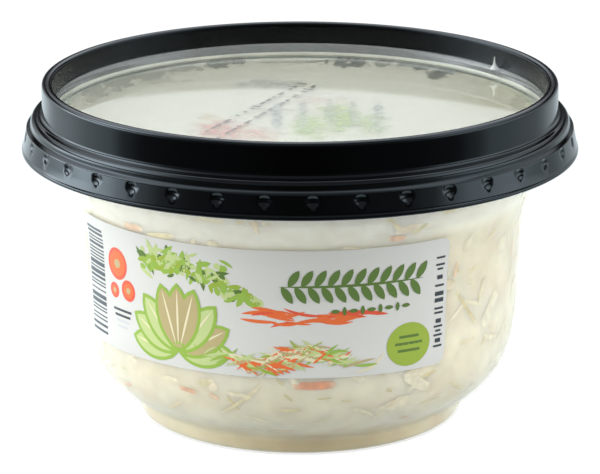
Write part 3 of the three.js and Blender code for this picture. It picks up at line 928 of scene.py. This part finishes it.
def lid_outline():
    """Section of the black ring: lip, ledge, short band, flared skirt with a rim, and the inner side."""
    half = SNAP_SIZE[1] / 2
    skirt_rows = [(float(skirt_radius(z)), float(z))
                  for z in np.linspace(SNAP_MIDDLE - half, min(SNAP_MIDDLE + half, 63.3), 12)]
    rim = rounded([(58.0, 58.7), (58.05, 58.3, 0.25), (SKIRT_RIM, 58.3, 0.25), (SKIRT_RIM, 58.9, 0.25),
                   (58.75, 59.3, 0.4), skirt_rows[0]])
    band_and_ledge = rounded([
        skirt_rows[-1], (57.88, 63.4, 0.25), (57.4, 63.75, 0.25), (57.08, 63.95, 0.2), (57, 65.1, 0.5),
        (56.3, 65.8, 0.4), (55.0, 65.85, 0.5), (LIP_OUTER, 66.4, 0.5), (LIP_OUTER, 69.5),
    ])
    lip = rounded([(LIP_OUTER, 71.0), (LIP_OUTER, LIP_TOP, 0.95), (LIP_INNER, LIP_TOP, 0.95),
                   (LIP_INNER, 71.0)], 7)
    inside = rounded([(LIP_INNER, 69.5), (LIP_INNER, 65.55, 0.1), (56.2, 65.55, 0.2), (56.2, 63.7, 0.2),
                      (57.0, 63.0, 0.2), (58.0, 58.7)])
    return rim + skirt_rows[1:-1] + band_and_ledge + lip + inside[:-1]


class COLESLAW_OT_lid(bpy.types.Operator):
    """Black press-on lid: raised lip, ledge, band and flared skirt with a row of dimples"""

    bl_idname = "coleslaw.lid"
    bl_label = "Lid"

    def execute(self, context):
        settings = context.scene.coleslaw_lid
        outline = lid_outline()
        lid = turned("lid_ring", outline + outline[:1], settings.steps)
        places = points_of(lid)
        x, y, z = places.T
        radius = np.hypot(x, y)
        azimuth = np.degrees(np.arctan2(x, -y))
        pitch = 360 / SNAP_COUNT
        off = (azimuth - SNAP_PHASE + pitch / 2) % pitch - pitch / 2
        side = np.radians(off) * radius
        reach = np.hypot(side / (SNAP_SIZE[0] / 2), (z - SNAP_MIDDLE) / (SNAP_SIZE[1] / 2))
        on_skirt = (radius > skirt_radius(z) - 0.3) & (z > 60)   # its outer face alone
        depth = SNAP_DEPTH * np.clip(1 - reach ** 2, 0, 1) ** 0.8 * on_skirt
        places[:, 0] -= depth * x / radius
        places[:, 1] -= depth * y / radius
        move_points(lid, places)
        for name, roughness, gloss in (
            ("black polypropylene", 0.12, 0.52), ("black polypropylene, inside", 0.26, 0.24),
        ):
            lid.data.materials.append(black_polypropylene(name, settings, roughness, gloss))
        for face in lid.data.polygons:
            inner_side = all(radius[v] < LIP_INNER + 0.25 and z[v] > FLANGE_TOP for v in face.vertices)
            face.material_index = int(inner_side)
        settle(lid, "lid_plastic", "lid")
        return {"FINISHED"}


WINDOW_TOP, WINDOW_BOTTOM = 66.45, 65.75
WINDOW_RADIUS = LIP_INNER - 0.08
BEAD_INNER, BEAD_OUTER, BEAD_TOP = 50.2, 51.9, 68.5
EDGE_TOP = 66.3       # how high the window's pressed edge face reaches
NIB_AZIMUTH, NIB_RADIUS = 123.4, 51.0
NIB_OUTLINE = [(0, 2.7), (0.1, 2.6), (0.22, 1.5), (0.5, 0.6), (1.25, 0)]


class COLESLAW_OT_window(bpy.types.Operator):
    """Recessed clear window with its bead and the small moulding nib"""

    bl_idname = "coleslaw.window"
    bl_label = "Window"

    def execute(self, context):
        settings = context.scene.coleslaw_lid
        dome, rings = settings.dome / MM, 12
        pane = [(BEAD_INNER * k / rings, WINDOW_TOP + dome * (1 - (k / rings) ** 2))
                for k in range(rings + 1)]
        bead = rounded([pane[-1], (50.6, 66.6, 0.3), (51.2, 68.0, 0.5), (BEAD_OUTER, BEAD_TOP, 0.35),
                        (WINDOW_RADIUS, 68.3, 0.2), (WINDOW_RADIUS, EDGE_TOP)], 4)
        foot = FILM_TOP + 0.04
        base = [(WINDOW_RADIUS, foot), (BEAD_OUTER, foot), (BEAD_OUTER, WINDOW_BOTTOM),
                (BEAD_INNER, WINDOW_BOTTOM)]
        under = [(r, z - (WINDOW_TOP - WINDOW_BOTTOM)) for r, z in pane[::-1][1:]]
        window = turned("clear_window", pane + bead[1:] + base + under, 240)
        nib = turned("nib", NIB_OUTLINE, 20)
        move_points(nib, points_of(nib) + around(NIB_RADIUS, NIB_AZIMUTH, 68.3))
        for material in (
            clear_sheet("clear window", "#fcfcfa", haze=0.02, roughness=0.02, mirror_share=1.6),
            clear_sheet("clear moulding, bead", "#f4f8f8", haze=0.1, roughness=0.12, mirror_share=1.0),
            pressed_edge(),
            clear_sheet("clear moulding, frosted nib", "#f4f8f8", haze=0.35, roughness=0.2, mirror_share=1.6),
        ):
            window.data.materials.append(material)
            nib.data.materials.append(material)
        places = points_of(window)
        radius = np.hypot(places[:, 0], places[:, 1])
        for face in window.data.polygons:
            low, innermost = (min(f[v] for v in face.vertices) for f in (places[:, 2], radius))
            # The window's outer edge takes the painted glow of the pressed edge.
            on_edge = low < EDGE_TOP - 0.01 and innermost > BEAD_OUTER - 0.05
            face.material_index = 0 if innermost < BEAD_INNER - 0.01 else 2 if on_edge else 1
        for face in nib.data.polygons:
            face.material_index = 3
        settle(joined("clear_window", [window, nib]), "clear_plastic", "lid_window")
        return {"FINISHED"}


# ---- label ----

LABEL_OUTSIDE = 0.06   # from the tub's face to the label's face
LABEL_RADIUS = 47.3    # middle radius of the label, to measure along it
PRINT_OUTSIDE, INK_LAYER = LABEL_OUTSIDE + 0.02, 0.004


def label_places(s, z, proud):
    """Places on the label from the distance along it and the height, in mm."""
    return around(WALL.radius(z) + proud, np.degrees(s / LABEL_RADIUS), z)


class COLESLAW_OT_label(bpy.types.Operator):
    """Paper label wrapped round the front and left of the tub"""

    bl_idname = "coleslaw.label"
    bl_label = "Label"

    def execute(self, context):
        settings = context.scene.coleslaw_label
        start, end = (a * LABEL_RADIUS for a in (settings.start, settings.end))
        low, high = settings.bottom / MM, settings.top / MM
        label = flat_grid("paper_label", 96, 30)
        u, v, _ = points_of(label).T
        corner = 0.022 * np.abs(u) ** 60 * np.abs(v) ** 16
        s = (start + end) / 2 + (end - start) / 2 * u * (1 - corner)
        z = (low + high) / 2 + (high - low) / 2 * v * (1 - 2 * corner)
        move_points(label, label_places(s, z, LABEL_OUTSIDE))
        label.data.materials.append(coated_paper(settings))
        select_only(label)
        thickness = label.modifiers.new("Paper", "SOLIDIFY")
        thickness.thickness = 0.05 * MM
        thickness.offset = -1
        bpy.ops.object.modifier_apply(modifier=thickness.name)
        bpy.ops.object.mode_set(mode="EDIT")
        bpy.ops.mesh.select_all(action="DESELECT")
        bpy.ops.mesh.edges_select_sharp(sharpness=math.radians(40))
        bpy.ops.mesh.mark_sharp()
        bpy.ops.object.mode_set(mode="OBJECT")
        settle(label, "label_paper", "label")
        return {"FINISHED"}


INKS = {
    "dark green": "#55702f", "lime": "#93aa3e", "leaf green": "#8fb04a", "pale green": "#b9c98a",
    "blue-black": "#2c3238", "tan": "#b3a578", "orange": "#dd6a35", "light grey": "#c2c5c8",
    "red-orange": "#d8553a", "cream": "#dcd6b4",
}


class COLESLAW_OT_print(bpy.types.Operator):
    """Plain printed design: bars, carrot slices, a garland, leaves, strips, a leaf border and a badge"""

    bl_idname = "coleslaw.print"
    bl_label = "Label print"

    def execute(self, context):
        rng = random.Random(5)
        green, lime, leafy, pale, dark, tan, orange, grey, red, cream = (
            ink(name + " ink", code) for name, code in INKS.items())
        shapes = []

        def add(form, size, at, turn, material, layer, cells):
            """Adds a shape: size, place along the label and height in mm, turn in degrees, ink and layer."""
            shapes.append(printed("ink", form, size, cells, at, turn, material, label_places,
                                  PRINT_OUTSIDE + INK_LAYER * layer))

        # Bars at the left edge.
        z = 23.6
        while z < 46:
            bar = rng.choice([0.35, 0.35, 0.6, 0.9])
            add(block, (7.2, bar), (-52.4, z + bar / 2), 0, dark, 0, (7, 1))
            z += bar + rng.choice([0.35, 0.5, 0.75])
        # Carrot slices, and a few lines under them.
        for at, size in (((-43.6, 40.6), 6.6), ((-40.2, 35.4), 4.4), ((-45.0, 34.6), 3.2)):
            tall = size * 1.05
            add(disc, (size, tall), at, 0, red, 0, (16, 12))
            add(disc, (size - 1.4, tall - 1.4), at, 0, orange, 1, (14, 10))
            add(disc, (size * 0.3, size * 0.3), at, 0, tan, 2, (4, 4))
        for k in range(4):
            add(block, (6.2 - 0.9 * k, 0.55), (-42.6, 30.6 - 1.2 * k), 0, dark if k < 2 else grey, 0, (6, 1))
        # Garland of small leaves.
        for _ in range(150):
            t = rng.random()
            wave = 43.2 + 2.0 * math.sin(3.6 * t) - 7.5 * t * t
            at = (-36 + 29 * t, wave + rng.gauss(0, 1.5))
            if abs(at[1] - 42) < 5:
                add(leaf, (rng.uniform(1.6, 4.2), rng.uniform(0.7, 1.5)), at, rng.uniform(0, 180),
                    rng.choice([leafy, leafy, lime, pale, green]), rng.randrange(1, 6), (4, 2))
        # Fan of broad leaves, each with a paler inside and a rib, the middle ones on top.
        for angle in (8, 172, 30, 150, 52, 128, 74, 106, 90):
            c, s = math.cos(math.radians(angle)), math.sin(math.radians(angle))
            length = 12.0 + 3.0 * s
            at = (-26.5 + c * length * 0.52, 24.6 + s * length * 0.52)
            layer = 7 + 3 * round(4 * s)
            add(leaf_blade, (length, 6.4), at, angle, leafy, layer, (12, 8))
            inside = rng.choice([pale, tan, pale])
            add(leaf_blade, (length * 0.86, 4.9), at, angle, inside, layer + 1, (12, 8))
            add(leaf_blade, (length * 0.8, 0.5), at, angle, cream, layer + 2, (10, 1))
        # Heap of shredded strips.
        for _ in range(190):
            t = rng.gauss(0, 0.5)
            if abs(t) > 1.2:
                continue
            at = (-3 + 15 * t, 25.2 + 1.4 * math.sin(4 * t) + rng.uniform(-1.5, 2.2) * (1.25 - abs(t)))
            size = (rng.uniform(3, 7.5), rng.uniform(0.3, 0.65), rng.uniform(-0.15, 0.15))
            add(stroke, size, at, rng.uniform(-38, 38),
                rng.choice([cream, pale, leafy, orange, orange, tan, lime]), rng.randrange(22, 34), (6, 1))
        # Band of carrot strips.
        for k in range(26):
            at = (rng.uniform(-9, 15), 34.2 + rng.uniform(-1.6, 1.6))
            size = (rng.uniform(4, 9), rng.uniform(0.5, 1.0), rng.uniform(-0.08, 0.08))
            add(stroke, size, at, rng.uniform(-16, 10), orange if k % 3 else red, rng.randrange(3, 7), (6, 1))
        # Leaf border on a stem, and a row of small leaves.
        add(stroke, (30.5, 0.55, 0.0), (11.0, 41.2), 0, green, 24, (24, 1))
        for k in range(22):
            x, side = -3.4 + 1.36 * k, 1 if k % 2 else -1
            add(leaf_blade, (4.3, 1.7), (x + 0.75, 41.2 + side * 1.75), side * 58, green, 25, (8, 4))
        for k in range(9):
            add(leaf_blade, (2.0, 0.9), (7.2 + 1.9 * k, 35.8), 90 if k % 2 else 0, green, 25, (6, 3))
        # Round badge with plain bars.
        add(disc, (10.2, 9.4), (23.4, 27.2), 0, lime, 12, (14, 12))
        for k, width in enumerate((4.6, 6.4, 5.2)):
            add(block, (width, 0.6), (23.4, 28.9 - 1.5 * k), 0, green, 13, (5, 1))
        # Column of small bars at the right edge.
        z = 25.4
        while z < 45:
            bar = rng.choice([0.45, 0.45, 0.9])
            add(block, (rng.choice([1.4, 2.2]), bar), (30.6, z + bar / 2), 0, dark, 12, (2, 1))
            z += bar + rng.choice([0.5, 0.5, 1.1])
        settle(joined("label_print", shapes), "label_paper")
        return {"FINISHED"}


# ---- stage ----

# Soft lamps: name, place and size in metres, brightness.
LAMPS = [
    ("left", (-0.88, -0.1, 0.32), (0.86, 0.62), 5.7), ("right", (0.9, -0.14, 0.32), (0.64, 0.62), 4.7),
    ("front low", (0.0, -1.0, 0.14), (1.5, 0.26), 3.2), ("above", (0.0, -0.25, 1.1), (1.0, 0.8), 4.6),
]
LAMP_AIM = (0, 0, 0.045)
CAMERA_PLACE, CAMERA_AIM = (0, -0.76705, 0.26031), (0, 0, 0.03801)

# What polished surfaces mirror, by the direction round from the front: degrees, and brightness.
WALLS_MIRRORED = [
    (-180, 0.0), (-165, 0.1), (-150, 0.6), (-130, 1.6), (-118, 4.4), (-98, 5.4), (-86, 4.0), (-77, 2.4),
    (-67, 0.8), (-57, 0.25), (-40, 0.08), (0, 0.02), (40, 0.08), (55, 0.3), (64, 1.0), (75, 1.7),
    (95, 1.9), (108, 1.3), (125, 0.7), (150, 0.5), (165, 0.1), (180, 0.0),
]
FLOOR_MIRRORED = [
    (-180, 0.85), (-160, 1.05), (-148, 1.2), (-130, 0.9), (-111, 1.15), (-95, 1.05), (-86, 0.95),
    (-76, 0.25), (-66, 0.06), (-40, 0.03), (0, 0.0), (40, 0.03), (66, 0.06), (76, 0.25), (87, 0.66),
    (100, 0.6), (120, 0.5), (136, 0.7), (160, 0.85), (180, 0.85),
]
BRIGHTEST = 6.0   # the brightness that the white end of a ramp stands for
WALL_LIGHT, FLOOR_LIGHT, BOUNCED_LIGHT = (0.93, 1.0, 1.07, 1), (0.87, 1.0, 1.06, 1), (1.0, 0.96, 0.88, 1)
SEEN_STRENGTH = 1.05   # floor and room as the camera sees them: white


def brightness_round(tree, direction, stops):
    """Node with the brightness for a direction round from the front, from a list of stops."""
    parts = add_node(tree, "SeparateXYZ", {0: direction})
    front = combined(tree, "MULTIPLY", parts.outputs["Y"], -1.0)
    azimuth = combined(tree, "ARCTAN2", parts.outputs["X"], front)
    turn = add_node(tree, "MapRange", {"Value": azimuth, "From Min": -math.pi, "From Max": math.pi})
    ramp = add_node(tree, "ValToRGB", {0: turn})
    ramp.color_ramp.interpolation = "EASE"
    points = ramp.color_ramp.elements
    while len(points) < len(stops):
        points.new(0.5)
    for point, (angle, value) in zip(points, stops):
        point.position = (angle + 180) / 360
        point.color = (*[value / BRIGHTEST] * 3, 1)
    return combined(tree, "MULTIPLY", ramp, BRIGHTEST)


def ramp_between(tree, value, low, high, at_low=0.0, at_high=1.0):
    """Node that goes smoothly from one number to another while a value goes from low to high."""
    return add_node(tree, "MapRange", {
        "Value": value, "From Min": low, "From Max": high, "To Min": at_low, "To Max": at_high,
    }, interpolation_type="SMOOTHSTEP")


def combined(tree, operation, first, *others):
    """Node with a running sum, product or other operation of several values."""
    result = first
    for other in others:
        result = add_node(tree, "Math", {0: result, 1: other}, operation=operation)
    return result


def by_ray(tree, mirrored, spread, seen):
    """Shader that polished surfaces, matt surfaces and the camera each see in their own way."""
    rays = add_node(tree, "LightPath")
    unseen = add_node(tree, "MixShader", {0: rays.outputs["Is Diffuse Ray"], 1: mirrored, 2: spread})
    return add_node(tree, "MixShader", {0: rays.outputs["Is Camera Ray"], 1: unseen, 2: seen})


def pale_floor(settings):
    """Plain pale floor, whose gleam fades into the room's with distance and is brighter close to the tub."""
    bpy.ops.object.select_all(action="DESELECT")
    bpy.ops.mesh.primitive_plane_add(size=8, location=(0, 0, -0.3 * MM))
    floor = bpy.context.active_object
    floor.name = "floor"
    material, tree = new_material("pale floor")
    place = add_node(tree, "TexCoord").outputs["Object"]
    reach = add_node(tree, "VectorMath", {0: place}, operation="LENGTH").outputs["Value"]
    near = brightness_round(tree, place, FLOOR_MIRRORED)
    far = brightness_round(tree, place, WALLS_MIRRORED)
    share = ramp_between(tree, reach, 0.35, 2.2)
    extra = combined(tree, "MULTIPLY", combined(tree, "SUBTRACT", far, near), share)
    close = ramp_between(tree, reach, 0.14, 0.24, 1.0, 0.0)
    gleam = add_node(tree, "Emission", {
        "Color": FLOOR_LIGHT, "Strength": combined(tree, "ADD", near, extra, close),
    })
    bounce = add_node(tree, "Emission", {"Color": BOUNCED_LIGHT, "Strength": settings.bounce})
    seen = add_node(tree, "Emission", {"Color": WHITE, "Strength": SEEN_STRENGTH})
    floor.data.materials.append(finished(material, by_ray(tree, gleam, bounce, seen)))


def soft_room(scene, settings):
    """Soft light all round, with the bright walls, ceiling and screen that polished surfaces mirror."""
    world = bpy.data.worlds.new("soft room")
    scene.world = world
    world.use_nodes = True
    world.cycles.sampling_method = "NONE"
    tree = world.node_tree
    tree.nodes.clear()
    direction = add_node(tree, "TexCoord").outputs["Generated"]
    parts = add_node(tree, "SeparateXYZ", {0: direction})
    height = parts.outputs["Z"]
    # The walls are dark in a band at the height that the flat window mirrors, so that it stays clear.
    lit = combined(tree, "ADD", ramp_between(tree, height, 0.19, 0.26, 1.05, 0.0),
                   ramp_between(tree, height, 0.36, 0.42, 0.0, 1.1))
    walls = combined(tree, "MULTIPLY", brightness_round(tree, direction, WALLS_MIRRORED), lit,
                     ramp_between(tree, height, 0.62, 0.92, 1.0, 0.0))
    ceiling = ramp_between(tree, height, 0.27, 0.6, 0.0, 0.22)
    # The edge of the bright screen behind is an arch.
    aside = combined(tree, "ADD", parts.outputs["X"], 0.008)
    arch = combined(tree, "SUBTRACT", height, combined(tree, "MULTIPLY", aside, aside, 2.05))
    screen = combined(tree, "MULTIPLY", ramp_between(tree, arch, 0.2356, 0.2368),
                      ramp_between(tree, arch, 0.236, 0.34, 0.5, 1.15),
                      ramp_between(tree, parts.outputs["Y"], 0.0, 0.2))
    gleam = add_node(tree, "Background", {
        "Color": WALL_LIGHT, "Strength": combined(tree, "ADD", walls, ceiling, screen),
    })
    soft = add_node(tree, "Background", {"Color": WHITE, "Strength": settings.fill})
    seen = add_node(tree, "Background", {"Color": WHITE, "Strength": SEEN_STRENGTH})
    add_node(tree, "OutputWorld", {"Surface": by_ray(tree, gleam, soft, seen)})


def aimed(place, aim):
    """Rotation that turns a lamp or camera at a place to its aim."""
    return (Vector(aim) - Vector(place)).to_track_quat("-Z", "Y").to_euler()


def soft_lamp(name, place, size, radiance):
    """Area lamp of a size in metres and a radiance, turned to the tub; polished surfaces don't mirror it."""
    bpy.ops.object.select_all(action="DESELECT")
    bpy.ops.object.light_add(type="AREA", location=place)
    lamp = bpy.context.active_object
    lamp.name = name
    lamp.data.shape = "RECTANGLE"
    lamp.data.size, lamp.data.size_y = size
    lamp.data.energy = 4 * size[0] * size[1] * radiance
    lamp.rotation_euler = aimed(place, LAMP_AIM)
    lamp.visible_camera = lamp.visible_glossy = lamp.visible_transmission = False


class COLESLAW_OT_stage(bpy.types.Operator):
    """Pale floor, soft studio light and the camera"""

    bl_idname = "coleslaw.stage"
    bl_label = "Stage"

    def execute(self, context):
        scene, settings = context.scene, context.scene.coleslaw_stage
        pale_floor(settings)
        soft_room(scene, settings)
        for lamp in LAMPS:
            soft_lamp(*lamp)
        bpy.ops.object.camera_add(location=CAMERA_PLACE)
        camera = context.active_object
        camera.rotation_euler = aimed(camera.location, CAMERA_AIM)
        camera.data.lens = settings.lens
        camera.data.sensor_width = 36
        camera.data.clip_start = 0.01
        scene.camera = camera
        scene.view_settings.view_transform = "Standard"
        scene.cycles.use_denoising = True
        scene.cycles.transparent_max_bounces = 24
        scene.cycles.max_bounces = 12
        return {"FINISHED"}


# ---- panel and registration ----

OPERATORS = (
    COLESLAW_OT_tub, COLESLAW_OT_slaw, COLESLAW_OT_film, COLESLAW_OT_lid, COLESLAW_OT_window,
    COLESLAW_OT_label, COLESLAW_OT_print, COLESLAW_OT_stage,
)
SETTINGS = {
    "coleslaw_tub": TubSettings, "coleslaw_slaw": SlawSettings, "coleslaw_lid": LidSettings,
    "coleslaw_label": LabelSettings, "coleslaw_stage": StageSettings,
}


class COLESLAW_PT_panel(bpy.types.Panel):
    """Lists the pieces in the order they are made"""

    bl_idname = "COLESLAW_PT_panel"
    bl_label = "Tub of coleslaw"
    bl_space_type = "VIEW_3D"
    bl_region_type = "UI"
    bl_category = "Coleslaw"

    def draw(self, context):
        for operator in OPERATORS:
            self.layout.operator(operator.bl_idname)


def register():
    for name, group in SETTINGS.items():
        bpy.utils.register_class(group)
        setattr(bpy.types.Scene, name, PointerProperty(type=group))
    for cls in (*OPERATORS, COLESLAW_PT_panel):
        bpy.utils.register_class(cls)


def unregister():
    for cls in (COLESLAW_PT_panel, *reversed(OPERATORS)):
        bpy.utils.unregister_class(cls)
    for name, group in reversed(SETTINGS.items()):
        delattr(bpy.types.Scene, name)
        bpy.utils.unregister_class(group)


def main():
    register()
    for operator in OPERATORS:
        group, name = operator.bl_idname.split(".")
        getattr(getattr(bpy.ops, group), name)()


if __name__ == "__main__":
    main()
